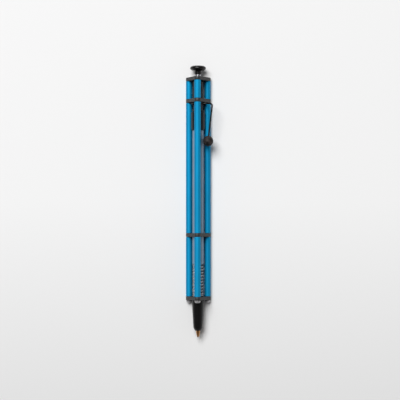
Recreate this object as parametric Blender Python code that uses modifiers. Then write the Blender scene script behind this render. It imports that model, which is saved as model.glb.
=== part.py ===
# A skeleton click ballpoint pen: three rows of tubes held between plates by tie screws, with a click
# mechanism, a refill in a steel carrier, a return spring, a nose cone and a sprung wire clip.
# The pen lies along Y on two of its tubes, with the button towards +Y. Metres, +Z up.
# A station is a distance from the writing tip along the pen. The tip is shown extended.
import math

import bpy
from mathutils import Vector

MM = 0.001
GAP = 0.25 * MM

# Tubes and plates
TUBE_ANGLES = (0.0, 120.0, 240.0)
TUBE_CIRCLE = 5.3 * MM
TUBE_RADIUS = 1.6 * MM
TUBE_BORE = 1.05 * MM
PLATE_THICKNESS = 1.7 * MM
BOTTOM_PLATE = 18.65 * MM
MID_PLATE = 50.25 * MM
CLIP_PLATE = 117.5 * MM
TOP_PLATE = 128.4 * MM
SCREW_HOLE = 1.05 * MM

# Tie screws
SCREW_RADIUS = 0.8 * MM
SCREW_HEAD_RADIUS = 1.45 * MM
SCREW_HEAD_HEIGHT = 1.35 * MM

# Nose cone
NOSE_RADIUS = 3.1 * MM
NOSE_END_RADIUS = 2.38 * MM
NOSE_LIP_RADIUS = 1.45 * MM
NOSE_LIP = 3.4 * MM
NOSE_SHOULDER = 5.7 * MM
NOSE_MOUTH = 1.25 * MM
NOSE_BORE = 1.85 * MM
NOSE_BORE_START = 6.2 * MM
NOSE_SPIGOT_RADIUS = 2.65 * MM

# Refill and its carrier
BALL_RADIUS = 0.36 * MM
TIP_END = 0.45 * MM
TIP_END_RADIUS = 0.58 * MM
TIP_SOCKET_RADIUS = 0.46 * MM
TIP_SOCKET_END = 1.05 * MM
TIP_RADIUS = 1.0 * MM
TIP_CONE_END = 3.3 * MM
TIP_COLLAR = 8.2 * MM
TIP_COLLAR_HEIGHT = 1.0 * MM
TIP_SPIGOT_RADIUS = 0.8 * MM
TIP_SPIGOT_LENGTH = 3.3 * MM
REFILL_RADIUS = 1.5 * MM
REFILL_BORE = 1.1 * MM
REFILL_TOP = 97.5 * MM
CARRIER_RADIUS = 2.85 * MM
CARRIER_BORE = 1.8 * MM
CARRIER_BOTTOM = 36.4 * MM
CARRIER_BORE_TOP = 98.0 * MM
CARRIER_TOP = 104.5 * MM
CARRIER_SOCKET_RADIUS = 1.5 * MM
CARRIER_SOCKET_DEPTH = 2.0 * MM
CARRIER_CHAMFER = 0.3 * MM

# Return spring
SPRING_MEAN_RADIUS = 2.55 * MM
SPRING_WIRE_RADIUS = 0.3 * MM
SPRING_TURNS = 11
SPRING_POINTS_PER_TURN = 9

# Click mechanism
HOUSING_BOTTOM = 103.4 * MM
HOUSING_CHAMFER = 1.3 * MM
HOUSING_TOP = 127.9 * MM
SKIRT_TOP = 112.65 * MM
SKIRT_RADIUS = 3.45 * MM
SKIRT_BORE = 3.1 * MM
SKIRT_ROOF = 0.75 * MM
BARREL_RADIUS = 2.65 * MM
BARREL_BORE = 2.25 * MM
THREAD_DEPTH = 0.2 * MM
THREAD_PITCH = 1.16 * MM
THREAD_COUNT = 3
CAM_DISC_RADIUS = 2.7 * MM
CAM_HUB_RADIUS = 1.9 * MM
CAM_SPIGOT_RADIUS = 1.2 * MM
CAM_DISC_HEIGHT = 0.9 * MM
CAM_HUB_HEIGHT = 1.2 * MM
CROWN_NOTCHES = 3
CROWN_DEPTH = 0.55 * MM
CROWN_BORE = 1.15 * MM
CROWN_BORE_DEPTH = 0.8 * MM
CROWN_TURN = 7.5
PLUNGER_BOTTOM = 107.2 * MM
PLUNGER_SHOULDER = 123.1 * MM
PLUNGER_RADIUS = 1.95 * MM
STEM_RADIUS = 1.6 * MM
STEM_SPIGOT_RADIUS = 0.8 * MM

# Push button
NECK_BOTTOM = 131.6 * MM
NECK_RADIUS = 1.75 * MM
BUTTON_UNDERSIDE = 133.45 * MM
BUTTON_TOP = 135.8 * MM
BUTTON_RADIUS = 4.0 * MM
BUTTON_RIM = 1.7 * MM
BUTTON_SOCKET_TOP = 134.1 * MM

# Wire clip
CLIP_ANGLE = 60.0
CLIP_WIRE_RADIUS = 0.42 * MM
CLIP_EYE_RADIUS = 3.12 * MM
CLIP_EYE_START = 92.0
CLIP_EYE_END = 404.0
CLIP_EYE_POINTS = 26
CLIP_ARM_START = 4.7 * MM
CLIP_CORNER_RADIUS = 8.5 * MM
CLIP_CORNER_DROP = 0.35 * MM
CLIP_BEND = 1.2 * MM
CLIP_PIVOT_RADIUS = 3.7 * MM
CLIP_BALL_RADIUS = 2.6 * MM
CLIP_BALL_CIRCLE = 5.95 * MM
CLIP_BALL = 97.95 * MM
CLIP_SOCKET_FLOOR = 0.6 * MM

# Facet counts
ROUND_STEPS = 24
FINE_STEPS = 32
HOLE_STEPS = 24
LOBE_STEPS = 10
RIM_STEPS = 10

AXIS_HEIGHT = TUBE_CIRCLE * math.cos(math.radians(60.0)) + TUBE_RADIUS
CLIP_EYE = CLIP_PLATE - GAP - CLIP_WIRE_RADIUS
LEFT_EDGE = -TUBE_CIRCLE * math.sin(math.radians(60.0)) - TUBE_RADIUS
RIGHT_EDGE = CLIP_BALL_CIRCLE * math.sin(math.radians(CLIP_ANGLE)) + CLIP_BALL_RADIUS
AXIS_X = -(LEFT_EDGE + RIGHT_EDGE) / 2
AXIS_Y = -BUTTON_TOP / 2


def clear_scene():
    for old in list(bpy.data.objects):
        bpy.data.objects.remove(old, do_unlink=True)


def make_collection(name):
    collection = bpy.data.collections.new(name)
    bpy.context.scene.collection.children.link(collection)
    return collection


def make_material(name, colour, metallic, roughness):
    material = bpy.data.materials.new(name)
    material.use_nodes = True
    shader = material.node_tree.nodes["Principled BSDF"]
    shader.inputs["Base Color"].default_value = (*colour, 1.0)
    shader.inputs["Metallic"].default_value = metallic
    shader.inputs["Roughness"].default_value = roughness
    return material


def make_empty(name, location, parent=None):
    empty = bpy.data.objects.new(name, None)
    empty.location = location
    empty.parent = parent
    pen.objects.link(empty)
    return empty


def add_object(name, data, parent, material):
    piece = bpy.data.objects.new(name, data)
    piece.data.materials.append(material)
    piece.parent = parent
    pen.objects.link(piece)
    return piece


def pen_point(angle, radius, station):
    # Angles run from the top of the lying pen towards its right side.
    turn = math.radians(angle)
    return Vector((radius * math.sin(turn), -radius * math.cos(turn), station))


def turned(name, outline, parent, material, steps=ROUND_STEPS, closed=True):
    # The outline runs down the outer side. A closed outline goes back up inside, an open one ends on the axis.
    count = len(outline)
    edges = [(i, i + 1) for i in range(count - 1)]
    if closed:
        edges.append((count - 1, 0))
    mesh = bpy.data.meshes.new(name)
    mesh.from_pydata([(radius, 0.0, station) for radius, station in outline], edges, [])
    piece = add_object(name, mesh, parent, material)
    screw = piece.modifiers.new("turn", "SCREW")
    screw.steps = steps
    screw.render_steps = steps
    screw.use_merge_vertices = True
    screw.merge_threshold = 0.000001
    screw.use_smooth_shade = True
    return piece


def add_spline(curve, points, cyclic):
    spline = curve.splines.new("POLY")
    spline.points.add(len(points) - 1)
    for target, point in zip(spline.points, points):
        target.co = (*point, 1.0)
    spline.use_cyclic_u = cyclic


def wire(name, points, radius, resolution, parent, material):
    curve = bpy.data.curves.new(name, "CURVE")
    curve.dimensions = "3D"
    curve.bevel_depth = radius
    curve.bevel_resolution = resolution
    curve.use_fill_caps = True
    add_spline(curve, points, False)
    return add_object(name, curve, parent, material)


def circle_points(centre, radius, steps):
    turns = [2 * math.pi * i / steps for i in range(steps)]
    return [(centre[0] + radius * math.cos(t), centre[1] + radius * math.sin(t), 0.0) for t in turns]


def plate_outline():
    # The outer outline: a round lobe at each tube, with straight sides between them.
    points = []
    for angle in TUBE_ANGLES:
        centre = pen_point(angle, TUBE_CIRCLE, 0.0)
        for i in range(LOBE_STEPS + 1):
            turn = angle - 60.0 + 120.0 * i / LOBE_STEPS
            points.append(centre + pen_point(turn, TUBE_RADIUS, 0.0))
    return points


def plate(name, station, hole_radius, parent, material):
    curve = bpy.data.curves.new(name, "CURVE")
    curve.dimensions = "2D"
    curve.fill_mode = "BOTH"
    curve.extrude = PLATE_THICKNESS / 2
    add_spline(curve, plate_outline(), True)
    add_spline(curve, circle_points((0.0, 0.0), hole_radius, HOLE_STEPS), True)
    for angle in TUBE_ANGLES:
        add_spline(curve, circle_points(pen_point(angle, TUBE_CIRCLE, 0.0), SCREW_HOLE, HOLE_STEPS), True)
    piece = add_object(name, curve, parent, material)
    piece.location.z = station + PLATE_THICKNESS / 2
    return piece


def tube(name, angle, bottom, top, parent, material):
    outline = [
        (TUBE_RADIUS, top - GAP),
        (TUBE_RADIUS, bottom + GAP),
        (TUBE_BORE, bottom + GAP),
        (TUBE_BORE, top - GAP),
    ]
    piece = turned(name, outline, parent, material)
    piece.location = pen_point(angle, TUBE_CIRCLE, 0.0)
    return piece


def tie_screw(name, angle, parent, material):
    under = BOTTOM_PLATE - GAP
    rim = 0.4 * MM
    dome = SCREW_HEAD_HEIGHT - rim
    outline = [
        (0.0, TOP_PLATE + PLATE_THICKNESS),
        (SCREW_RADIUS, TOP_PLATE + PLATE_THICKNESS),
        (SCREW_RADIUS, under),
        (SCREW_HEAD_RADIUS, under),
    ]
    for i in range(6):
        turn = math.radians(90.0 * i / 5)
        outline.append((SCREW_HEAD_RADIUS * math.cos(turn), under - rim - dome * math.sin(turn)))
    outline[-1] = (0.0, under - SCREW_HEAD_HEIGHT)
    piece = turned(name, outline, parent, material, steps=20, closed=False)
    piece.location = pen_point(angle, TUBE_CIRCLE, 0.0)
    return piece


def nose_cone(parent, material):
    top = BOTTOM_PLATE + PLATE_THICKNESS - GAP
    under = BOTTOM_PLATE - GAP
    outline = [
        (NOSE_SPIGOT_RADIUS, top),
        (NOSE_SPIGOT_RADIUS, under),
        (NOSE_RADIUS, under),
    ]
    width = NOSE_END_RADIUS - NOSE_LIP_RADIUS
    height = NOSE_SHOULDER - NOSE_LIP
    for i in range(6):
        share = i / 5
        outline.append((NOSE_LIP_RADIUS + width * (1.0 - share * share), NOSE_SHOULDER - height * share))
    outline += [
        (NOSE_MOUTH, NOSE_LIP),
        (NOSE_MOUTH, NOSE_BORE_START - 1.0 * MM),
        (NOSE_BORE, NOSE_BORE_START),
        (NOSE_BORE, top),
    ]
    return turned("nose_cone", outline, parent, material, steps=FINE_STEPS)


def refill_tip(parent, material):
    collar_top = TIP_COLLAR + TIP_COLLAR_HEIGHT
    outline = [
        (0.0, collar_top + TIP_SPIGOT_LENGTH),
        (TIP_SPIGOT_RADIUS, collar_top + TIP_SPIGOT_LENGTH),
        (TIP_SPIGOT_RADIUS, collar_top),
        (REFILL_RADIUS, collar_top),
        (REFILL_RADIUS, TIP_COLLAR),
        (TIP_RADIUS, TIP_COLLAR),
        (TIP_RADIUS, TIP_CONE_END),
        (TIP_END_RADIUS, TIP_END),
        (TIP_SOCKET_RADIUS, TIP_END),
        (0.0, TIP_SOCKET_END),
    ]
    return turned("refill_tip", outline, parent, material, steps=20, closed=False)


def tip_ball(parent, material):
    outline = [(BALL_RADIUS * math.sin(t), BALL_RADIUS * (1 + math.cos(t))) for t in half_turns(8)]
    return turned("tip_ball", outline, parent, material, steps=16, closed=False)


def half_turns(steps):
    return [math.pi * i / steps for i in range(steps + 1)]


def refill_tube(parent, material):
    bottom = TIP_COLLAR + TIP_COLLAR_HEIGHT + GAP
    outline = [
        (REFILL_RADIUS, REFILL_TOP),
        (REFILL_RADIUS, bottom),
        (REFILL_BORE, bottom),
        (REFILL_BORE, REFILL_TOP),
    ]
    return turned("refill_tube", outline, parent, material, steps=20)


def refill_carrier(parent, material):
    socket_floor = CARRIER_TOP - CARRIER_SOCKET_DEPTH
    outline = [
        (0.0, socket_floor),
        (CARRIER_SOCKET_RADIUS, socket_floor),
        (CARRIER_SOCKET_RADIUS, CARRIER_TOP),
        (CARRIER_RADIUS - CARRIER_CHAMFER, CARRIER_TOP),
        (CARRIER_RADIUS, CARRIER_TOP - CARRIER_CHAMFER),
        (CARRIER_RADIUS, CARRIER_BOTTOM + CARRIER_CHAMFER),
        (CARRIER_RADIUS - CARRIER_CHAMFER, CARRIER_BOTTOM),
        (CARRIER_BORE, CARRIER_BOTTOM),
        (CARRIER_BORE, CARRIER_BORE_TOP),
        (0.0, CARRIER_BORE_TOP),
    ]
    return turned("refill_carrier", outline, parent, material, steps=FINE_STEPS, closed=False)


def spring_points():
    bottom = BOTTOM_PLATE + PLATE_THICKNESS + GAP + SPRING_WIRE_RADIUS
    top = CARRIER_BOTTOM - GAP - SPRING_WIRE_RADIUS
    count = SPRING_TURNS * SPRING_POINTS_PER_TURN
    points = []
    for i in range(count + 1):
        turn = 360.0 * i / SPRING_POINTS_PER_TURN
        points.append(pen_point(turn, SPRING_MEAN_RADIUS, bottom + (top - bottom) * i / count))
    return points


def least_coil_gap(points):
    # The clear distance between the wire and its own later turns.
    least = math.inf
    apart = SPRING_POINTS_PER_TURN // 2
    for i, first in enumerate(points):
        for second in points[i + apart:]:
            least = min(least, (first - second).length)
    return least - 2 * SPRING_WIRE_RADIUS


def return_spring(parent, material):
    points = spring_points()
    print(f"return_spring least gap to itself {least_coil_gap(points) / MM:.2f} mm")
    return wire("return_spring", points, SPRING_WIRE_RADIUS, 1, parent, material)


def thread_outline():
    # Ridges of the threaded neck, from the top down.
    root = BARREL_RADIUS - THREAD_DEPTH
    points = []
    for i in range(THREAD_COUNT):
        top = SKIRT_TOP + THREAD_PITCH * (THREAD_COUNT - i)
        points.append((root, top))
        points.append((BARREL_RADIUS, top - 0.35 * THREAD_PITCH))
        points.append((BARREL_RADIUS, top - 0.65 * THREAD_PITCH))
    return points


def mechanism_housing(parent, material):
    neck = BARREL_RADIUS - THREAD_DEPTH
    eye_bottom = CLIP_EYE - CLIP_WIRE_RADIUS - GAP
    skirt_roof = SKIRT_TOP - SKIRT_ROOF
    outline = [
        (BARREL_RADIUS, HOUSING_TOP),
        (BARREL_RADIUS, CLIP_PLATE),
        (neck, CLIP_PLATE - GAP),
        (neck, eye_bottom),
    ]
    outline += thread_outline()
    outline += [
        (neck, SKIRT_TOP),
        (SKIRT_RADIUS, SKIRT_TOP),
        (SKIRT_RADIUS, HOUSING_BOTTOM + HOUSING_CHAMFER),
        (SKIRT_BORE + 0.15 * MM, HOUSING_BOTTOM),
        (SKIRT_BORE, HOUSING_BOTTOM),
        (SKIRT_BORE, skirt_roof),
        (BARREL_BORE, skirt_roof),
        (BARREL_BORE, HOUSING_TOP),
    ]
    return turned("mechanism_housing", outline, parent, material, steps=FINE_STEPS)


def cut_crown(piece, station, first_angle, parent):
    # V notches across the end face, which leave the crown's teeth between them.
    side = CROWN_DEPTH * math.sqrt(2.0)
    for i in range(CROWN_NOTCHES):
        bpy.ops.mesh.primitive_cube_add(size=1.0)
        cutter = bpy.context.object
        cutter.name = f"{piece.name}_notch_{i + 1}"
        for collection in list(cutter.users_collection):
            collection.objects.unlink(cutter)
        cutters.objects.link(cutter)
        cutter.parent = parent
        cutter.location = (0.0, 0.0, station)
        cutter.scale = (4 * PLUNGER_RADIUS, side, side)
        turn = first_angle + 180.0 * i / CROWN_NOTCHES
        cutter.rotation_euler = (math.radians(45.0), 0.0, math.radians(turn))
        cutter.hide_render = True
        cutter.display_type = "WIRE"
        notch = piece.modifiers.new(f"notch_{i + 1}", "BOOLEAN")
        notch.operation = "DIFFERENCE"
        notch.object = cutter


def ratchet_cam(parent, material):
    disc_bottom = CARRIER_TOP + GAP
    disc_top = disc_bottom + CAM_DISC_HEIGHT
    hub_top = disc_top + CAM_HUB_HEIGHT
    outline = [
        (0.0, hub_top - CROWN_BORE_DEPTH),
        (CROWN_BORE, hub_top - CROWN_BORE_DEPTH),
        (CROWN_BORE, hub_top),
        (CAM_HUB_RADIUS, hub_top),
        (CAM_HUB_RADIUS, disc_top),
        (CAM_DISC_RADIUS, disc_top),
        (CAM_DISC_RADIUS, disc_bottom),
        (CAM_SPIGOT_RADIUS, disc_bottom),
        (CAM_SPIGOT_RADIUS, CARRIER_TOP - CARRIER_SOCKET_DEPTH + GAP),
        (0.0, CARRIER_TOP - CARRIER_SOCKET_DEPTH + GAP),
    ]
    piece = turned("ratchet_cam", outline, parent, material, closed=False)
    cut_crown(piece, hub_top, CROWN_TURN, parent)
    return piece


def plunger(parent, material):
    outline = [
        (0.0, BUTTON_SOCKET_TOP - GAP),
        (STEM_SPIGOT_RADIUS, BUTTON_SOCKET_TOP - GAP),
        (STEM_SPIGOT_RADIUS, NECK_BOTTOM - GAP),
        (STEM_RADIUS, NECK_BOTTOM - GAP),
        (STEM_RADIUS, PLUNGER_SHOULDER),
        (PLUNGER_RADIUS, PLUNGER_SHOULDER),
        (PLUNGER_RADIUS, PLUNGER_BOTTOM),
        (CROWN_BORE, PLUNGER_BOTTOM),
        (CROWN_BORE, PLUNGER_BOTTOM + CROWN_BORE_DEPTH),
        (0.0, PLUNGER_BOTTOM + CROWN_BORE_DEPTH),
    ]
    piece = turned("plunger", outline, parent, material, closed=False)
    cut_crown(piece, PLUNGER_BOTTOM, CROWN_TURN + 90.0 / CROWN_NOTCHES, parent)
    return piece


def push_button(parent, material):
    # The head has a flat face and a rim rounded like half an ellipse.
    flat = BUTTON_RADIUS - BUTTON_RIM
    middle = (BUTTON_TOP + BUTTON_UNDERSIDE) / 2
    half = (BUTTON_TOP - BUTTON_UNDERSIDE) / 2
    socket = STEM_SPIGOT_RADIUS + GAP
    outline = [(0.0, BUTTON_TOP)]
    for i in range(RIM_STEPS + 1):
        turn = math.pi / 2 - math.pi * i / RIM_STEPS
        outline.append((flat + BUTTON_RIM * math.cos(turn), middle + half * math.sin(turn)))
    outline += [
        (NECK_RADIUS, BUTTON_UNDERSIDE),
        (NECK_RADIUS, NECK_BOTTOM),
        (socket, NECK_BOTTOM),
        (socket, BUTTON_SOCKET_TOP),
        (0.0, BUTTON_SOCKET_TOP),
    ]
    return turned("push_button", outline, parent, material, steps=FINE_STEPS, closed=False)


def rounded_corner(before, corner, after, radius, steps):
    # Points of an arc of the given radius that rounds one corner of a bent wire.
    back = (before - corner).normalized()
    ahead = (after - corner).normalized()
    half = back.angle(ahead) / 2
    reach = radius / math.tan(half)
    start = corner + back * reach
    centre = corner + (back + ahead).normalized() * (radius / math.sin(half))
    sweep = math.pi - 2 * half
    along = (start - centre).normalized()
    points = []
    for i in range(steps + 1):
        turn = sweep * i / steps
        points.append(centre + radius * (along * math.cos(turn) - back * math.sin(turn)))
    return points


def clip_wire(parent, material):
    eye = []
    for i in range(CLIP_EYE_POINTS + 1):
        angle = CLIP_EYE_START + (CLIP_EYE_END - CLIP_EYE_START) * i / CLIP_EYE_POINTS
        eye.append(pen_point(angle, CLIP_EYE_RADIUS, CLIP_EYE))
    arm = pen_point(CLIP_ANGLE, CLIP_ARM_START, CLIP_EYE)
    corner = pen_point(CLIP_ANGLE, CLIP_CORNER_RADIUS, CLIP_EYE - CLIP_CORNER_DROP)
    ball = pen_point(CLIP_ANGLE, CLIP_BALL_CIRCLE, CLIP_BALL)
    end = ball + (corner - ball).normalized() * (CLIP_SOCKET_FLOOR + GAP)
    points = eye[:-1]
    points += rounded_corner(eye[-2], eye[-1], arm, 0.5 * MM, 3)
    points += rounded_corner(eye[-1], arm, corner, 1.0 * MM, 3)
    points += rounded_corner(arm, corner, end, CLIP_BEND, 6)
    points += [corner.lerp(end, 0.5), end]
    local = [point - parent.location for point in points]
    return wire("clip_wire", local, CLIP_WIRE_RADIUS, 2, parent, material)


def clip_ball(parent, material):
    socket = CLIP_WIRE_RADIUS + GAP
    rim = math.asin(socket / CLIP_BALL_RADIUS)
    steps = 12
    outline = [(0.0, CLIP_SOCKET_FLOOR), (socket, CLIP_SOCKET_FLOOR)]
    for i in range(steps + 1):
        turn = rim + (math.pi - rim) * i / steps
        outline.append((CLIP_BALL_RADIUS * math.sin(turn), CLIP_BALL_RADIUS * math.cos(turn)))
    outline[-1] = (0.0, -CLIP_BALL_RADIUS)
    piece = turned("clip_ball", outline, parent, material, closed=False)
    centre = pen_point(CLIP_ANGLE, CLIP_BALL_CIRCLE, CLIP_BALL)
    corner = pen_point(CLIP_ANGLE, CLIP_CORNER_RADIUS, CLIP_EYE - CLIP_CORNER_DROP)
    piece.location = centre - parent.location
    piece.rotation_mode = "QUATERNION"
    piece.rotation_quaternion = (corner - centre).to_track_quat("Z", "Y")
    return piece


clear_scene()
pen = make_collection("ballpoint_pen")
cutters = make_collection("cutters")

blue = make_material("blue_aluminium", (0.008, 0.29, 0.52), 0.9, 0.35)
grey = make_material("grey_aluminium", (0.055, 0.058, 0.06), 0.6, 0.45)
black = make_material("black_aluminium", (0.012, 0.012, 0.013), 0.3, 0.35)
dark_steel = make_material("blackened_steel", (0.05, 0.05, 0.055), 0.9, 0.35)
steel = make_material("bright_steel", (0.55, 0.56, 0.58), 1.0, 0.25)
brass = make_material("brass", (0.6, 0.36, 0.12), 1.0, 0.3)
dark_plastic = make_material("dark_plastic", (0.03, 0.03, 0.03), 0.0, 0.4)
light_plastic = make_material("light_plastic", (0.45, 0.46, 0.47), 0.0, 0.4)
ink_plastic = make_material("ink_plastic", (0.015, 0.015, 0.021), 0.0, 0.3)
rubber = make_material("black_rubber", (0.02, 0.02, 0.02), 0.0, 0.7)

axis = make_empty("pen_axis", (AXIS_X, AXIS_Y, AXIS_HEIGHT))
axis.rotation_euler = (-math.pi / 2, 0.0, 0.0)
clip_pivot = make_empty("clip_pivot", pen_point(CLIP_ANGLE, CLIP_PIVOT_RADIUS, CLIP_EYE), axis)

runs = {
    "lower": (BOTTOM_PLATE + PLATE_THICKNESS, MID_PLATE),
    "middle": (MID_PLATE + PLATE_THICKNESS, CLIP_PLATE),
    "upper": (CLIP_PLATE + PLATE_THICKNESS, TOP_PLATE),
}
for number, tube_angle in enumerate(TUBE_ANGLES, 1):
    for run, (run_bottom, run_top) in runs.items():
        tube(f"tube_{run}_{number}", tube_angle, run_bottom, run_top, axis, blue)
    tie_screw(f"tie_screw_{number}", tube_angle, axis, steel)

plate("bottom_plate", BOTTOM_PLATE, NOSE_SPIGOT_RADIUS + GAP, axis, grey)
plate("mid_plate", MID_PLATE, CARRIER_RADIUS + GAP, axis, grey)
plate("clip_plate", CLIP_PLATE, BARREL_RADIUS + GAP, axis, grey)
plate("top_plate", TOP_PLATE, STEM_RADIUS + GAP, axis, grey)

nose_cone(axis, black)
refill_tip(axis, brass)
tip_ball(axis, steel)
refill_tube(axis, ink_plastic)
refill_carrier(axis, steel)
return_spring(axis, steel)
mechanism_housing(axis, dark_plastic)
ratchet_cam(axis, light_plastic)
plunger(axis, steel)
push_button(axis, black)
clip_wire(clip_pivot, dark_steel)
clip_ball(clip_pivot, rubber)
print(f"pen {BUTTON_TOP / MM:.2f} mm long, axis {AXIS_HEIGHT / MM:.2f} mm above the table")
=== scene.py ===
import math
import bpy
from mathutils import Matrix, Vector


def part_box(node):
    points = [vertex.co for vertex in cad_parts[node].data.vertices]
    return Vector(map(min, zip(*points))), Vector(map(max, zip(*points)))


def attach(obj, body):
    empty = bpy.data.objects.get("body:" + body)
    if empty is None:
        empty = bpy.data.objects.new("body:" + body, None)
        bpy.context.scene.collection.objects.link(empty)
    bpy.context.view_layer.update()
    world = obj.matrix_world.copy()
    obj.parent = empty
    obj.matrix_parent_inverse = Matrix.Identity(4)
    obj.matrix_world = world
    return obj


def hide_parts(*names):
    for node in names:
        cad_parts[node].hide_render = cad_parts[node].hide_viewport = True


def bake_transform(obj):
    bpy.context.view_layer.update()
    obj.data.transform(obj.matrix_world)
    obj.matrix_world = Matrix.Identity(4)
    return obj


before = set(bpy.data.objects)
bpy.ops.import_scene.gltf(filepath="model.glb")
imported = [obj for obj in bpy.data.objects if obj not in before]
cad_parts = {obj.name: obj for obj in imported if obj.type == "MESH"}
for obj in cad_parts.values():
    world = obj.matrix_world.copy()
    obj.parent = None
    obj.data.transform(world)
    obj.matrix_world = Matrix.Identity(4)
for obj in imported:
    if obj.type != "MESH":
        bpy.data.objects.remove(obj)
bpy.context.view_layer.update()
mm = 0.001  # sizes are given in millimetres, and Blender works in metres
weld = 0.002 * mm  # points closer than this become one
overrun = 1  # how far a cutter runs past the face that it cuts

# the pen lies along Y, and every station is measured from its writing tip
carrierLow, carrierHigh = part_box("refill_carrier")
axisX = (carrierLow.x + carrierHigh.x) / 2
axisZ = (carrierLow.z + carrierHigh.z) / 2
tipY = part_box("tip_ball")[0].y
alongPen = Vector((0, 1, 0))
sideways = Vector((1, 0, 0))

frameLayout = {
    "angles": [0, 120, 240],  # degrees from the top, towards the clip
    "tubeCircle": 5.3,
    "tubeRadius": 1.6,
    "plate": 1.7,
    "bottom": 18.65,
    "mid": 50.25,
    "clip": 117.5,
    "top": 128.4,
}


# a point at a radius from the pen's axis, turned from the top by an angle in degrees
def place(radius, station, angle=90):
    turn = math.radians(angle)
    x = axisX + radius * mm * math.sin(turn)
    z = axisZ + radius * mm * math.cos(turn)
    return Vector((x, tipY + station * mm, z))


def deselect():
    if bpy.context.object and bpy.context.object.mode != "OBJECT":
        bpy.ops.object.mode_set(mode="OBJECT")
    bpy.ops.object.select_all(action="DESELECT")


def pick(piece):
    deselect()
    piece.select_set(True)
    bpy.context.view_layer.objects.active = piece


def applyPlace():
    bpy.ops.object.transform_apply(location=True, rotation=True, scale=True)


# a line of vertices, drawn point by point as with the E key
def drawLine(name, points, closed=False):
    deselect()
    bpy.ops.mesh.primitive_plane_add(size=mm, location=points[0])
    piece = bpy.context.object
    piece.name = name
    applyPlace()
    bpy.ops.object.mode_set(mode="EDIT")
    bpy.ops.mesh.select_mode(type="VERT")
    bpy.ops.mesh.select_all(action="SELECT")
    bpy.ops.mesh.merge(type="CENTER")
    for before, after in zip(points, points[1:]):
        bpy.ops.mesh.extrude_region_move(TRANSFORM_OT_translate={"value": after - before})
    if closed:
        bpy.ops.object.mode_set(mode="OBJECT")
        piece.data.vertices[0].select = True
        bpy.ops.object.mode_set(mode="EDIT")
        bpy.ops.mesh.edge_face_add()
    return piece


# seams merged and faces turned outwards, at the end of edit mode
def closeUp():
    bpy.ops.mesh.select_all(action="SELECT")
    bpy.ops.mesh.remove_doubles(threshold=weld)
    bpy.ops.mesh.normals_make_consistent(inside=False)
    bpy.ops.object.mode_set(mode="OBJECT")


def applyBevel(piece, width, segments=2, angle=35):
    pick(piece)
    bevel = piece.modifiers.new("edge", "BEVEL")
    bevel.width = width * mm
    bevel.segments = segments
    bevel.limit_method = "ANGLE"
    bevel.angle_limit = math.radians(angle)
    bpy.ops.object.modifier_apply(modifier=bevel.name)


# smooth shading, with the large faces kept flat beside their rounded edges
def smooth(piece, angle=32):
    pick(piece)
    bpy.ops.object.shade_smooth_by_angle(angle=math.radians(angle))
    weigh = piece.modifiers.new("flatFaces", "WEIGHTED_NORMAL")
    weigh.weight = 100
    weigh.keep_sharp = True
    bpy.ops.object.modifier_apply(modifier=weigh.name)


# a profile of (radius, station) drawn at one side and spun round its axis
def turnPiece(name, profile, steps, closed=True, origin=None, axis=alongPen, side=sideways):
    start = origin or place(0, 0)
    points = [start + axis * (along * mm) + side * (out * mm) for out, along in profile]
    piece = drawLine(name, points, closed)
    bpy.ops.mesh.select_all(action="SELECT")
    bpy.ops.mesh.spin(steps=steps, angle=2 * math.pi, center=start, axis=axis)
    closeUp()
    return piece


# a wire of round section along a drawn line
def bendWire(name, points, radius, resolution):
    drawLine(name, points)
    bpy.ops.object.mode_set(mode="OBJECT")
    bpy.ops.object.convert(target="CURVE")
    wire = bpy.context.object
    wire.data.bevel_depth = radius * mm
    wire.data.bevel_resolution = resolution
    wire.data.use_fill_caps = True
    bpy.ops.object.convert(target="MESH")
    piece = bpy.context.object
    bpy.ops.object.mode_set(mode="EDIT")
    closeUp()
    return piece


def arc(centre, radius, start, end, count):
    points = []
    for i in range(count + 1):
        turn = math.radians(start + (end - start) * i / count)
        points.append((centre[0] + radius * math.cos(turn), centre[1] + radius * math.sin(turn)))
    return points


def cutWith(piece, cutter):
    pick(piece)
    cut = piece.modifiers.new("cut", "BOOLEAN")
    cut.operation = "DIFFERENCE"
    cut.object = cutter
    bpy.ops.object.modifier_apply(modifier=cut.name)
    bpy.data.objects.remove(cutter)
    bpy.ops.object.mode_set(mode="EDIT")
    bpy.ops.mesh.select_all(action="SELECT")
    bpy.ops.mesh.dissolve_degenerate(threshold=weld)
    closeUp()


# a plain rod along the pen, with its middle on a circle round the axis
def addRod(radius, low, high, angle, circle, sides):
    deselect()
    middle = place(circle, (low + high) / 2, angle)
    bpy.ops.mesh.primitive_cylinder_add(
        vertices=sides, radius=radius * mm, depth=(high - low) * mm,
        location=middle, rotation=(math.pi / 2, 0, 0))
    applyPlace()
    return bpy.context.object


def copyPiece(piece, name, shift):
    pick(piece)
    bpy.ops.object.duplicate(linked=False)
    twin = bpy.context.object
    twin.name = name
    bpy.ops.transform.translate(value=shift)
    applyPlace()
    return twin


# the piece in the top row and its copies in the other rows, numbered from 1
def copyToRows(piece, stem):
    piece.name = stem + "1"
    ring = frameLayout["tubeCircle"]
    pieces = [piece]
    for number, angle in enumerate(frameLayout["angles"][1:], 2):
        shift = place(ring, 0, angle) - place(ring, 0, 0)
        pieces.append(copyPiece(piece, stem + str(number), shift))
    return pieces


def selectFaces(piece, chosen):
    pick(piece)
    bpy.ops.object.mode_set(mode="EDIT")
    bpy.ops.mesh.select_mode(type="FACE")
    bpy.ops.mesh.select_all(action="DESELECT")
    bpy.ops.object.mode_set(mode="OBJECT")
    for face in piece.data.polygons:
        face.select = chosen(face)
    bpy.ops.object.mode_set(mode="EDIT")


# sRGB hex to the linear colour that shaders take
def toLinear(hexColour):
    channels = []
    for i in (0, 2, 4):
        value = int(hexColour[i:i + 2], 16) / 255
        channels.append(value / 12.92 if value <= 0.04045 else ((value + 0.055) / 1.055) ** 2.4)
    return (*channels, 1.0)


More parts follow.
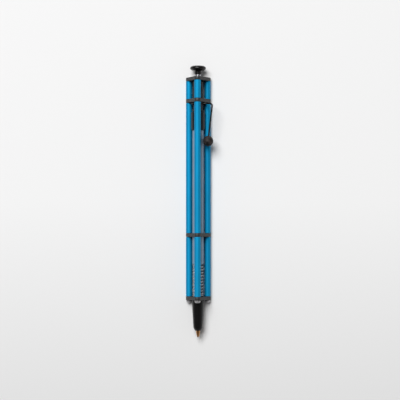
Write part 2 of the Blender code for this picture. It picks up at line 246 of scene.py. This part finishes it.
def addNode(tree, kind, values=None, links=None, **settings):
    node = tree.nodes.new("ShaderNode" + kind)
    for name, value in settings.items():
        setattr(node, name, value)
    for socket, value in (values or {}).items():
        node.inputs[socket].default_value = value
    for socket, source in (links or {}).items():
        tree.links.new(source, node.inputs[socket])
    return node


def startMaterial(name, values):
    material = bpy.data.materials.new(name)
    material.use_nodes = True
    tree = material.node_tree
    shader = tree.nodes["Principled BSDF"]
    for socket, value in values.items():
        shader.inputs[socket].default_value = value
    return material, tree, shader


grainMix = {
    "detail": 3.0, "fineness": 0.6, "patchDetail": 2.0,
    "colourSpan": [0.7, 1.3],  # grain and patches added up, from the dark colour to the light one
    "roughSpan": [0.3, 0.7],  # grain alone, from the lower roughness to the higher
}


# a two colour finish with a grain, whose size along each axis is in millimetres
def grainMaterial(name, look):
    material, tree, shader = startMaterial(name, look["shader"])
    spot = addNode(tree, "TexCoord")
    stretch = [1 / (size * mm) for size in look["grain"]]
    mapping = addNode(tree, "Mapping", {"Scale": stretch}, {"Vector": spot.outputs["Object"]})
    grain = addNode(tree, "TexNoise",
                    {"Scale": 1.0, "Detail": grainMix["detail"], "Roughness": grainMix["fineness"]},
                    {"Vector": mapping.outputs["Vector"]})
    patches = addNode(tree, "TexNoise",
                      {"Scale": 1 / (look["patch"] * mm), "Detail": grainMix["patchDetail"]},
                      {"Vector": spot.outputs["Object"]})
    both = addNode(tree, "Math", None, {0: grain.outputs["Fac"], 1: patches.outputs["Fac"]},
                   operation="ADD")
    darkest, lightest = grainMix["colourSpan"]
    share = addNode(tree, "MapRange", {"From Min": darkest, "From Max": lightest},
                    {"Value": both.outputs["Value"]})
    colour = addNode(tree, "Mix", {"A": toLinear(look["dark"]), "B": toLinear(look["light"])},
                     {"Factor": share.outputs["Result"]}, data_type="RGBA")
    low, high = look["rough"]
    lowest, highest = grainMix["roughSpan"]
    rough = addNode(tree, "MapRange",
                    {"From Min": lowest, "From Max": highest, "To Min": low, "To Max": high},
                    {"Value": grain.outputs["Fac"]})
    bump = addNode(tree, "Bump", {"Strength": look["bump"], "Distance": look["depth"] * mm},
                   {"Height": grain.outputs["Fac"]})
    tree.links.new(colour.outputs["Result"], shader.inputs["Base Color"])
    tree.links.new(rough.outputs["Result"], shader.inputs["Roughness"])
    tree.links.new(bump.outputs["Normal"], shader.inputs["Normal"])
    return material


# drawn aluminium tube, satin anodised: clear blue, a broad soft highlight, faint lines along the tube
blueAnodised = grainMaterial("anodisedAluminiumBlue", {
    "dark": "008dbc", "light": "0095c6", "grain": [0.25, 9.0, 0.25], "patch": 9.0,
    "rough": [0.58, 0.64], "bump": 0.05, "depth": 0.01,
    "shader": {"Metallic": 0.6, "Specular IOR Level": 0.3}})
# bead blasted aluminium, dark grey anodised: a fine even grit and a dull sheen
greyAnodised = grainMaterial("anodisedAluminiumGrey", {
    "dark": "343536", "light": "424343", "grain": [0.18, 0.18, 0.18], "patch": 3.0,
    "rough": [0.42, 0.55], "bump": 0.25, "depth": 0.02,
    "shader": {"Metallic": 0.6}})
# turned aluminium, black anodised: near black, with faint rings left by the tool
blackAnodised = grainMaterial("anodisedAluminiumBlack", {
    "dark": "070707", "light": "0c0b0b", "grain": [6.0, 0.22, 6.0], "patch": 4.0,
    "rough": [0.2, 0.26], "bump": 0.05, "depth": 0.01,
    "shader": {"Metallic": 0.0, "Specular IOR Level": 0.35}})
# ground steel stem: bright, with fine rings round it
brightSteel = grainMaterial("groundSteelBright", {
    "dark": "adaeb3", "light": "b9babe", "grain": [5.0, 0.2, 5.0], "patch": 7.0,
    "rough": [0.2, 0.27], "bump": 0.03, "depth": 0.005,
    "shader": {"Metallic": 1.0}})
# drawn steel tube with a blasted, dull finish: cool pale grey, with only a soft sheen along it
satinSteel = grainMaterial("drawnSteelSatin", {
    "dark": "768ca0", "light": "8298ac", "grain": [0.3, 8.0, 0.3], "patch": 7.0,
    "rough": [0.4, 0.46], "bump": 0.04, "depth": 0.01,
    "shader": {"Metallic": 0.35, "Specular IOR Level": 0.3}})
# hard drawn spring wire: bright, with a broad glint on each turn
springSteel = grainMaterial("drawnSpringSteel", {
    "dark": "a6a8ae", "light": "b8bac0", "grain": [0.3, 0.3, 0.3], "patch": 2.0,
    "rough": [0.3, 0.36], "bump": 0.02, "depth": 0.005,
    "shader": {"Metallic": 1.0}})
# oiled black oxide on steel wire: near black, half gloss
blackOxide = grainMaterial("blackOxideSteel", {
    "dark": "0b0b0c", "light": "141415", "grain": [0.35, 0.35, 0.35], "patch": 1.8,
    "rough": [0.26, 0.36], "bump": 0.04, "depth": 0.01,
    "shader": {"Metallic": 0.0, "Specular IOR Level": 0.4}})
# tumbled screw steel: bright where it faces the light, with a soft edge to the glint
screwSteel = grainMaterial("tumbledScrewSteel", {
    "dark": "b0afb1", "light": "bfbec0", "grain": [0.35, 0.35, 0.35], "patch": 1.8,
    "rough": [0.36, 0.44], "bump": 0.02, "depth": 0.005,
    "shader": {"Metallic": 1.0}})
# moulded nylon, near black: smooth and half dull, with a slight mottle
darkNylon = grainMaterial("mouldedNylonDark", {
    "dark": "0e1216", "light": "171c21", "grain": [0.4, 0.4, 0.4], "patch": 3.0,
    "rough": [0.26, 0.34], "bump": 0.05, "depth": 0.01,
    "shader": {"Metallic": 0.0, "Specular IOR Level": 0.25}})
# moulded acetal, natural: pale and slightly waxy
paleAcetal = grainMaterial("mouldedAcetalPale", {
    "dark": "c2c3c4", "light": "d2d3d3", "grain": [0.5, 0.5, 0.5], "patch": 2.0,
    "rough": [0.3, 0.42], "bump": 0.08, "depth": 0.01,
    "shader": {"Metallic": 0.0, "IOR": 1.48}})
# extruded polypropylene tube full of dark ink: smooth, glossy and almost black
inkTube = grainMaterial("polypropyleneInkTube", {
    "dark": "0c0d10", "light": "16171b", "grain": [0.8, 5.0, 0.8], "patch": 6.0,
    "rough": [0.24, 0.36], "bump": 0.05, "depth": 0.01,
    "shader": {"Metallic": 0.0, "IOR": 1.49}})
# turned brass: warm, with fine rings
turnedBrass = grainMaterial("turnedBrass", {
    "dark": "bb7f49", "light": "d49d64", "grain": [3.0, 0.16, 3.0], "patch": 1.5,
    "rough": [0.12, 0.2], "bump": 0.04, "depth": 0.01,
    "shader": {"Metallic": 1.0}})
# moulded rubber ball: black and dull, with a pebbled skin, drawn coarser than life so that it shows
pebbledRubber = grainMaterial("mouldedRubberBlack", {
    "dark": "030303", "light": "3e3635", "grain": [1.2, 1.2, 1.2], "patch": 1.6,
    "rough": [0.45, 0.7], "bump": 1.0, "depth": 0.3,
    "shader": {"Metallic": 0.0, "Specular IOR Level": 0.2}})
# ground carbide ball, wet with ink: grey, with a sharp glint
carbide = grainMaterial("groundCarbide", {
    "dark": "6d6e72", "light": "8a8b8f", "grain": [0.12, 0.12, 0.12], "patch": 0.4,
    "rough": [0.16, 0.28], "bump": 0.05, "depth": 0.005,
    "shader": {"Metallic": 1.0}})
print("materials ready")


def setMaterial(piece, material):
    piece.data.materials.clear()
    piece.data.materials.append(material)


def dress(piece, material, body, node):
    setMaterial(piece, material)
    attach(piece, body)
    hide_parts(node)


tubeShape = {
    "runs": {"Upper": ["clip", "top"], "Middle": ["mid", "clip"], "Lower": ["bottom", "mid"]},
    "wall": 0.5, "gap": 0.08, "edge": 0.16, "edgeSegments": 3, "sides": 64,
    "endFacing": 0.9,  # a face is an end if its normal lies this much along the pen
}


def makeTubes():
    shape = tubeShape
    for run, (below, above) in shape["runs"].items():
        low = frameLayout[below] + frameLayout["plate"] + shape["gap"]
        high = frameLayout[above] - shape["gap"]
        tube = addRod(frameLayout["tubeRadius"], low, high, 0, frameLayout["tubeCircle"], shape["sides"])
        selectFaces(tube, lambda face: abs(face.normal.y) > shape["endFacing"])
        bpy.ops.mesh.inset(thickness=shape["wall"] * mm, use_individual=True)
        bpy.ops.mesh.bridge_edge_loops()
        closeUp()
        applyBevel(tube, shape["edge"], shape["edgeSegments"])
        smooth(tube)
        for number, piece in enumerate(copyToRows(tube, "tube" + run), 1):
            node = "tube_" + run.lower() + "_" + str(number)
            dress(piece, blueAnodised, "frame", node)
    print("tubes", len(shape["runs"]) * len(frameLayout["angles"]))


plateShape = {
    "holes": {"top": 1.8, "clip": 2.85, "mid": 3.05, "bottom": 2.85}, "sides": 64,
    "screwHole": 1.0, "screwHoleSides": 40, "edge": 0.14, "edgeAngle": 50,
    "flatAngle": 0.5,  # facets that meet at less than this become one face
}


def makePlates():
    shape = plateShape
    ring = frameLayout["tubeCircle"]
    for where, hole in shape["holes"].items():
        low = frameLayout[where]
        high = low + frameLayout["plate"]
        lobes = [addRod(frameLayout["tubeRadius"], low, high, angle, ring, shape["sides"])
                 for angle in frameLayout["angles"]]
        deselect()
        for lobe in lobes:
            lobe.select_set(True)
        bpy.context.view_layer.objects.active = lobes[0]
        bpy.ops.object.join()
        plate = bpy.context.object
        plate.name = where + "Plate"
        bpy.ops.object.mode_set(mode="EDIT")
        bpy.ops.mesh.select_all(action="SELECT")
        bpy.ops.mesh.convex_hull()
        bpy.ops.mesh.select_all(action="SELECT")
        bpy.ops.mesh.dissolve_limited(angle_limit=math.radians(shape["flatAngle"]))
        closeUp()
        low -= overrun
        high += overrun
        cutWith(plate, addRod(hole, low, high, 0, 0, shape["sides"]))
        for angle in frameLayout["angles"]:
            cutWith(plate, addRod(shape["screwHole"], low, high, angle, ring, shape["screwHoleSides"]))
        applyBevel(plate, shape["edge"], angle=shape["edgeAngle"])
        smooth(plate)
        dress(plate, greyAnodised, "frame", where + "_plate")
    print("plates", len(shape["holes"]))


screwShape = {
    "rod": 0.8, "rodEdge": 0.12, "under": 18.57, "head": 1.45, "headEdge": 0.08, "rim": 0.4,
    "dome": 0.95, "domeSteps": 14, "drive": 0.62, "driveDepth": 0.7, "driveSides": 6, "sides": 48,
}


def makeScrews():
    shape = screwShape
    ring = frameLayout["tubeCircle"]
    top = frameLayout["top"] + frameLayout["plate"]
    under = shape["under"]
    base = under - shape["rim"]
    end = base - shape["dome"]
    profile = [(0, top), (shape["rod"] - shape["rodEdge"], top), (shape["rod"], top - shape["rodEdge"])]
    profile += [(shape["rod"], under), (shape["head"] - shape["headEdge"], under)]
    profile += [(shape["head"], under - shape["headEdge"])]
    for out, along in arc((0, 0), 1, 0, 90, shape["domeSteps"]):
        profile.append((shape["head"] * out, base - shape["dome"] * along))
    profile[-1] = (0, end)
    screw = turnPiece("tieScrew1", profile, shape["sides"], False, place(ring, 0, 0))
    driveTop = end + shape["driveDepth"]
    cutWith(screw, addRod(shape["drive"], end - overrun, driveTop, 0, ring, shape["driveSides"]))
    smooth(screw)
    for number, piece in enumerate(copyToRows(screw, "tieScrew"), 1):
        dress(piece, screwSteel, "frame", "tie_screw_" + str(number))
    print("tie screws", len(frameLayout["angles"]))


noseShape = {
    "spigot": 2.65, "spigotTop": 20.1, "under": 18.57, "wide": 3.1, "wideEdge": 0.15, "narrow": 2.38,
    "shoulder": 5.7, "shoulderSteps": 14, "lip": 3.4, "lipRadius": 1.4, "lipBulge": 0.02,
    "mouth": 1.25, "mouthEdge": 0.06, "bore": 1.85, "boreStart": 6.2, "boreSlope": 1, "sides": 96,
}


def makeNose():
    shape = noseShape
    profile = [(shape["spigot"], shape["spigotTop"]), (shape["spigot"], shape["under"])]
    profile += [(shape["wide"] - shape["wideEdge"], shape["under"])]
    profile += [(shape["wide"], shape["under"] - shape["wideEdge"])]
    for i in range(shape["shoulderSteps"] + 1):
        share = i / shape["shoulderSteps"]
        out = shape["lipRadius"] + (shape["narrow"] - shape["lipRadius"]) * (1 - share * share)
        profile.append((out, shape["shoulder"] - (shape["shoulder"] - shape["lip"]) * share))
    profile += [(shape["mouth"] + shape["mouthEdge"], shape["lip"] - shape["lipBulge"])]
    profile += [(shape["mouth"], shape["lip"] + shape["mouthEdge"])]
    profile += [(shape["mouth"], shape["boreStart"] - shape["boreSlope"])]
    profile += [(shape["bore"], shape["boreStart"]), (shape["bore"], shape["spigotTop"])]
    nose = turnPiece("noseCone", profile, shape["sides"])
    smooth(nose)
    dress(nose, blackAnodised, "frame", "nose_cone")
    print("nose cone")


buttonShape = {
    "radius": 4.0, "rim": 1.7, "rimSteps": 20, "top": 135.8, "under": 133.45, "sides": 80,
    "fillet": 0.5, "filletSteps": 6, "neck": 1.75, "neckEnd": 131.6, "neckEdge": 0.12,
    "socket": 1.05, "socketTop": 134.1,
}


def makeButton():
    shape = buttonShape
    flat = shape["radius"] - shape["rim"]
    middle = (shape["top"] + shape["under"]) / 2
    half = (shape["top"] - shape["under"]) / 2
    profile = [(0, shape["top"])]
    for out, along in arc((0, 0), 1, 90, -90, shape["rimSteps"]):  # a flat face, a rim like half an ellipse
        profile.append((flat + shape["rim"] * out, middle + half * along))
    corner = (shape["neck"] + shape["fillet"], shape["under"] - shape["fillet"])
    profile += arc(corner, shape["fillet"], 90, 180, shape["filletSteps"])
    profile += [(shape["neck"], shape["neckEnd"] + shape["neckEdge"])]
    profile += [(shape["neck"] - shape["neckEdge"], shape["neckEnd"]), (shape["socket"], shape["neckEnd"])]
    profile += [(shape["socket"], shape["socketTop"]), (0, shape["socketTop"])]
    button = turnPiece("pushButton", profile, shape["sides"], False)
    smooth(button)
    dress(button, blackAnodised, "button", "push_button")
    print("push button")


plungerShape = {
    "spigot": 0.8, "spigotTop": 133.85, "stem": 1.6, "stemTop": 131.52, "stemEdge": 0.15,
    "shoulder": 123.1, "shoulderSlope": 0.3, "body": 1.95, "bottom": 107.2, "bore": 1.15, "boreDepth": 0.8,
    "notches": 3, "notch": 0.55, "notchTurn": 37.5, "cutterLength": 8, "sides": 64,
}


def makePlunger():
    shape = plungerShape
    floor = shape["bottom"] + shape["boreDepth"]
    profile = [(0, shape["spigotTop"]), (shape["spigot"], shape["spigotTop"])]
    profile += [(shape["spigot"], shape["stemTop"]), (shape["stem"] - shape["stemEdge"], shape["stemTop"])]
    profile += [(shape["stem"], shape["stemTop"] - shape["stemEdge"]), (shape["stem"], shape["shoulder"])]
    profile += [(shape["body"], shape["shoulder"] - shape["shoulderSlope"])]
    profile += [(shape["body"], shape["bottom"]), (shape["bore"], shape["bottom"])]
    profile += [(shape["bore"], floor), (0, floor)]
    plunger = turnPiece("plungerStem", profile, shape["sides"], False)
    side = shape["notch"] * math.sqrt(2) * mm
    for i in range(shape["notches"]):  # a square bar on its edge, laid across the end, cuts both sides
        deselect()
        turn = math.radians(shape["notchTurn"] + 180 * i / shape["notches"])
        bpy.ops.mesh.primitive_cube_add(
            size=1, scale=(shape["cutterLength"] * mm, side, side), rotation=(math.pi / 4, 0, 0))
        applyPlace()
        cutter = bpy.context.object
        cutter.data.transform(Matrix.Rotation(-math.pi / 2, 4, "X") @ Matrix.Rotation(turn, 4, "Z"))
        cutter.data.transform(Matrix.Translation(place(0, shape["bottom"])))
        cutWith(plunger, cutter)
    smooth(plunger)
    dress(plunger, brightSteel, "button", "plunger")
    print("plunger")


housingShape = {
    "barrel": 2.65, "top": 127.9, "bore": 2.25, "neck": 2.45, "edge": 0.2, "pitch": 1.16, "ridges": 3,
    # a ridge of the thread: heights above the neck, and shares of the pitch
    "ridge": [(0, 0), (0.04, 0.1), (0.17, 0.4), (0.2, 0.5), (0.17, 0.6), (0.04, 0.9)],
    "skirt": 3.45, "skirtTop": 112.65, "skirtBore": 3.1, "roof": 111.9,
    "chamfer": 104.7, "bottom": 103.4, "lip": 0.12, "sides": 72,
}


def makeHousing():
    shape = housingShape
    edge = shape["edge"]
    profile = [(shape["barrel"] - edge, shape["top"]), (shape["barrel"], shape["top"] - edge)]
    profile += [(shape["barrel"], frameLayout["clip"]), (shape["neck"], frameLayout["clip"] - edge)]
    for i in range(shape["ridges"]):
        foot = shape["skirtTop"] + shape["pitch"] * (shape["ridges"] - i)
        for height, share in shape["ridge"]:
            profile.append((shape["neck"] + height, foot - share * shape["pitch"]))
    profile += [(shape["neck"], shape["skirtTop"])]
    profile += [(shape["skirt"] - edge, shape["skirtTop"]), (shape["skirt"], shape["skirtTop"] - edge)]
    profile += [(shape["skirt"], shape["chamfer"]), (shape["skirtBore"] + shape["lip"], shape["bottom"])]
    profile += [(shape["skirtBore"], shape["bottom"]), (shape["skirtBore"], shape["roof"])]
    profile += [(shape["bore"], shape["roof"]), (shape["bore"], shape["top"])]
    housing = turnPiece("mechanismHousing", profile, shape["sides"])
    smooth(housing)
    dress(housing, darkNylon, "frame", "mechanism_housing")
    print("mechanism housing")


carrierShape = {
    "radius": 2.85, "chamfer": 0.3, "bottom": 36.4, "top": 104.5, "bore": 1.8, "boreTop": 98.0,
    "socket": 1.5, "socketFloor": 102.5, "edge": 0.08, "sides": 96,
}


def makeCarrier():
    shape = carrierShape
    wide = shape["radius"]
    narrow = wide - shape["chamfer"]
    profile = [(0, shape["socketFloor"]), (shape["socket"], shape["socketFloor"])]
    profile += [(shape["socket"], shape["top"]), (narrow, shape["top"])]
    profile += [(wide, shape["top"] - shape["chamfer"]), (wide, shape["bottom"] + shape["chamfer"])]
    profile += [(narrow, shape["bottom"]), (shape["bore"], shape["bottom"])]
    profile += [(shape["bore"], shape["boreTop"]), (0, shape["boreTop"])]
    carrier = turnPiece("refillCarrier", profile, shape["sides"], False)
    applyBevel(carrier, shape["edge"])
    smooth(carrier)
    dress(carrier, satinSteel, "refill", "refill_carrier")
    print("refill carrier")


refillShape = {"radius": 1.5, "bore": 1.1, "bottom": 9.3, "top": 97.5, "edge": 0.08, "sides": 56}


def makeRefill():
    shape = refillShape
    profile = [(shape["radius"], shape["top"]), (shape["radius"], shape["bottom"])]
    profile += [(shape["bore"], shape["bottom"]), (shape["bore"], shape["top"])]
    refill = turnPiece("refillTube", profile, shape["sides"])
    applyBevel(refill, shape["edge"])
    smooth(refill)
    dress(refill, inkTube, "refill", "refill_tube")
    print("refill tube")


tipShape = {
    "spigot": 0.8, "spigotTop": 12.5, "collar": 1.5, "collarTop": 9.2, "collarBottom": 8.2,
    "topEdge": 0.1, "bottomEdge": 0.2, "body": 1.0, "coneTop": 3.3, "sides": 56,
    "end": 0.45, "endRadius": 0.58, "endSlope": 0.04, "endEdge": 0.12, "seat": 0.46, "seatTop": 1.05,
}


def makeTip():
    shape = tipShape
    profile = [(0, shape["spigotTop"]), (shape["spigot"], shape["spigotTop"])]
    profile += [(shape["spigot"], shape["collarTop"])]
    profile += [(shape["collar"] - shape["topEdge"], shape["collarTop"])]
    profile += [(shape["collar"], shape["collarTop"] - shape["topEdge"])]
    profile += [(shape["collar"], shape["collarBottom"] + shape["bottomEdge"])]
    profile += [(shape["collar"] - shape["bottomEdge"], shape["collarBottom"])]
    profile += [(shape["body"], shape["collarBottom"]), (shape["body"], shape["coneTop"])]
    profile += [(shape["endRadius"] + shape["endSlope"], shape["end"] + shape["endEdge"])]
    profile += [(shape["endRadius"] - shape["endSlope"], shape["end"])]
    profile += [(shape["seat"], shape["end"]), (0, shape["seatTop"])]
    tip = turnPiece("refillTip", profile, shape["sides"], False)
    smooth(tip)
    dress(tip, turnedBrass, "refill", "refill_tip")
    print("refill tip")


writingBallShape = {"radius": 0.36, "arcSteps": 24, "sides": 40, "smoothAngle": 60}


def makeWritingBall():
    shape = writingBallShape
    profile = arc((0, shape["radius"]), shape["radius"], 90, -90, shape["arcSteps"])
    ball = turnPiece("writingBall", profile, shape["sides"], False)
    smooth(ball, shape["smoothAngle"])
    dress(ball, carbide, "writing_ball", "tip_ball")
    print("writing ball")


springShape = {
    "radius": 2.55, "wire": 0.3, "bottom": 20.9, "top": 35.85, "turns": 11, "endPitch": 0.72,
    "perTurn": 32, "resolution": 3, "smoothAngle": 50,
}


def makeSpring():
    shape = springShape
    count = shape["turns"] * shape["perTurn"]
    free = shape["top"] - shape["bottom"] - 2 * shape["endPitch"]
    pitch = free / (shape["turns"] - 2)
    points = []
    for i in range(count + 1):
        turn = i / shape["perTurn"]
        if turn < 1:  # the end turns lie close, so that the spring sits flat
            station = shape["bottom"] + shape["endPitch"] * turn
        elif turn < shape["turns"] - 1:
            station = shape["bottom"] + shape["endPitch"] + pitch * (turn - 1)
        else:
            station = shape["top"] - shape["endPitch"] * (shape["turns"] - turn)
        points.append(place(shape["radius"], station, 360 * turn))
    spring = bendWire("returnSpring", points, shape["wire"], shape["resolution"])
    smooth(spring, shape["smoothAngle"])
    setMaterial(spring, springSteel)
    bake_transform(spring)
    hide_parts("return_spring")
    print("return spring")


clipShape = {
    "angle": 60, "wire": 0.42, "resolution": 6, "smoothAngle": 50,
    "station": 116.83, "eye": 3.12, "eyeFrom": 92, "eyeTo": 404, "eyeSteps": 56,
    "armStart": 4.7, "eyeBend": 0.5, "armBend": 1.0, "armSteps": 5,
    "corner": 8.5, "cornerDrop": 0.35, "bend": 1.2, "bendSteps": 14,
    "straight": [0.4, 0.7],  # points on the straight wire, as shares of its length
    "inSocket": 0.2,  # how far its end stays off the floor of the ball's socket
}
clipBallShape = {
    "radius": 2.6, "circle": 5.95, "station": 97.95, "socketFloor": 0.6, "socketGap": 0.06,
    "arcSteps": 40, "sides": 72, "smoothAngle": 50,
}
clipCorner = place(clipShape["corner"], clipShape["station"] - clipShape["cornerDrop"], clipShape["angle"])
clipBallCentre = place(clipBallShape["circle"], clipBallShape["station"], clipShape["angle"])
clipAxis = (clipCorner - clipBallCentre).normalized()


def roundCorner(before, corner, after, radius, steps):
    back = (before - corner).normalized()
    ahead = (after - corner).normalized()
    half = back.angle(ahead) / 2
    begin = corner + back * (radius / math.tan(half))
    centre = corner + (back + ahead).normalized() * (radius / math.sin(half))
    spoke = (begin - centre).normalized()
    points = []
    for i in range(steps + 1):
        turn = (math.pi - 2 * half) * i / steps
        points.append(centre + radius * (spoke * math.cos(turn) - back * math.sin(turn)))
    return points


def makeClipWire():
    shape = clipShape
    eye = []
    for i in range(shape["eyeSteps"] + 1):
        around = shape["eyeFrom"] + (shape["eyeTo"] - shape["eyeFrom"]) * i / shape["eyeSteps"]
        eye.append(place(shape["eye"], shape["station"], around))
    arm = place(shape["armStart"], shape["station"], shape["angle"])
    end = clipBallCentre + clipAxis * (clipBallShape["socketFloor"] + shape["inSocket"]) * mm
    points = eye[:-2]  # the bend into the arm takes the place of the last two
    points += roundCorner(eye[-3], eye[-1], arm, shape["eyeBend"] * mm, shape["armSteps"])
    points += roundCorner(eye[-1], arm, clipCorner, shape["armBend"] * mm, shape["armSteps"])
    points += roundCorner(arm, clipCorner, end, shape["bend"] * mm, shape["bendSteps"])
    points += [clipCorner.lerp(end, share) for share in shape["straight"]]
    points.append(end)
    wire = bendWire("clipWire", points, shape["wire"], shape["resolution"])
    smooth(wire, shape["smoothAngle"])
    dress(wire, blackOxide, "clip", "clip_wire")
    print("clip wire")


def makeClipBall():
    shape = clipBallShape
    socket = clipShape["wire"] + shape["socketGap"]
    rim = math.degrees(math.acos(socket / shape["radius"]))
    profile = [(0, shape["socketFloor"]), (socket, shape["socketFloor"])]
    profile += arc((0, 0), shape["radius"], rim, -90, shape["arcSteps"])
    side = alongPen.cross(clipAxis).normalized()
    ball = turnPiece("clipBall", profile, shape["sides"], False, clipBallCentre, clipAxis, side)
    smooth(ball, shape["smoothAngle"])
    dress(ball, pebbledRubber, "clip", "clip_ball")
    print("clip ball")


makeTubes()
makePlates()
makeScrews()
makeNose()
makeButton()
makePlunger()
makeHousing()
makeCarrier()
makeRefill()
makeTip()
makeWritingBall()
makeSpring()
makeClipWire()
makeClipBall()

# the ratchet cam stays as the CAD made it, hidden in the housing
setMaterial(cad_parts["ratchet_cam"], paleAcetal)
print("ratchet cam")

floorLook = {
    "size": 3000, "drop": 0.02, "colour": "eaeaea", "paintedShade": "dcdcdc",
    "paintedShadeAt": -100,  # the painted shade is at its darkest from here on, past the writing tip
    "shader": {"Roughness": 0.9, "Specular IOR Level": 0.1},
}


# matt paper, plain and pale, with painted shade: greyer towards the tip, standing in for the key light's
# falloff
def makeFloor():
    deselect()
    bpy.ops.mesh.primitive_plane_add(size=floorLook["size"] * mm, location=(0, 0, -floorLook["drop"] * mm))
    floor = bpy.context.object
    floor.name = "floor"
    material, tree, shader = startMaterial("paperFloor", floorLook["shader"])
    spot = addNode(tree, "TexCoord")
    split = addNode(tree, "SeparateXYZ", None, {"Vector": spot.outputs["Object"]})
    # painted shade: the floor's colour darkens along the pen towards the tip
    share = addNode(tree, "MapRange", {"From Min": floorLook["paintedShadeAt"] * mm, "From Max": 0.0},
                    {"Value": split.outputs["Y"]})
    colour = addNode(tree, "Mix", {"A": toLinear(floorLook["paintedShade"]), "B": toLinear(floorLook["colour"])},
                     {"Factor": share.outputs["Result"]}, data_type="RGBA")
    tree.links.new(colour.outputs["Result"], shader.inputs["Base Color"])
    floor.data.materials.append(material)


lightLook = {
    "horizon": 0.4, "overhead": 0.08,  # brightness of the room
    "right": 0.3,  # how much brighter it is at the right
    "key": 104.0, "keySize": 2.0, "keyFar": 3.0, "towards": (-0.22, 0.457, 0.83),  # watts and metres
}


def makeLight():
    scene = bpy.context.scene
    world = bpy.data.worlds.new("softRoom")
    scene.world = world
    world.use_nodes = True
    tree = world.node_tree
    spot = addNode(tree, "TexCoord")
    split = addNode(tree, "SeparateXYZ", None, {"Vector": spot.outputs["Generated"]})
    rise = addNode(tree, "MapRange", {"To Min": lightLook["horizon"], "To Max": lightLook["overhead"]},
                   {"Value": split.outputs["Z"]})
    lean = addNode(tree, "MapRange",
                   {"From Min": -1.0, "To Min": 1 - lightLook["right"], "To Max": 1 + lightLook["right"]},
                   {"Value": split.outputs["X"]})
    level = addNode(tree, "Math", None, {0: rise.outputs["Result"], 1: lean.outputs["Result"]},
                    operation="MULTIPLY")
    background = tree.nodes["Background"]
    background.inputs["Color"].default_value = (1, 1, 1, 1)
    tree.links.new(level.outputs["Value"], background.inputs["Strength"])
    towards = Vector(lightLook["towards"]).normalized()
    deselect()
    bpy.ops.object.light_add(type="AREA", location=towards * lightLook["keyFar"])
    key = bpy.context.object
    key.name = "keyLight"
    key.data.shape = "DISK"
    key.data.size = lightLook["keySize"]
    key.data.energy = lightLook["key"]
    key.rotation_euler = towards.to_track_quat("Z", "Y").to_euler()


cameraLook = {
    "height": 760, "right": 35, "along": -17,  # where it stands, from the point that it looks at
    "aimX": 0.98, "aimY": 0.72, "across": 200,  # that point, and the width seen there
    "sensor": 36, "clipStart": 10,
}


def makeCamera():
    scene = bpy.context.scene
    aim = Vector((axisX + cameraLook["aimX"] * mm, cameraLook["aimY"] * mm, axisZ))
    offset = Vector((cameraLook["right"], cameraLook["along"], cameraLook["height"])) * mm
    forward = (-offset).normalized()
    right = forward.cross(alongPen).normalized()
    up = right.cross(forward)
    deselect()
    bpy.ops.object.camera_add(location=aim + offset)
    camera = bpy.context.object
    turn = Matrix((right, up, -forward)).transposed()
    camera.rotation_euler = turn.to_euler()
    camera.data.sensor_width = cameraLook["sensor"]
    camera.data.lens = cameraLook["sensor"] * offset.length / (cameraLook["across"] * mm)
    camera.data.clip_start = cameraLook["clipStart"] * mm
    scene.camera = camera
    scene.view_settings.view_transform = "Standard"


makeFloor()
makeLight()
makeCamera()
print("floor, light and camera")
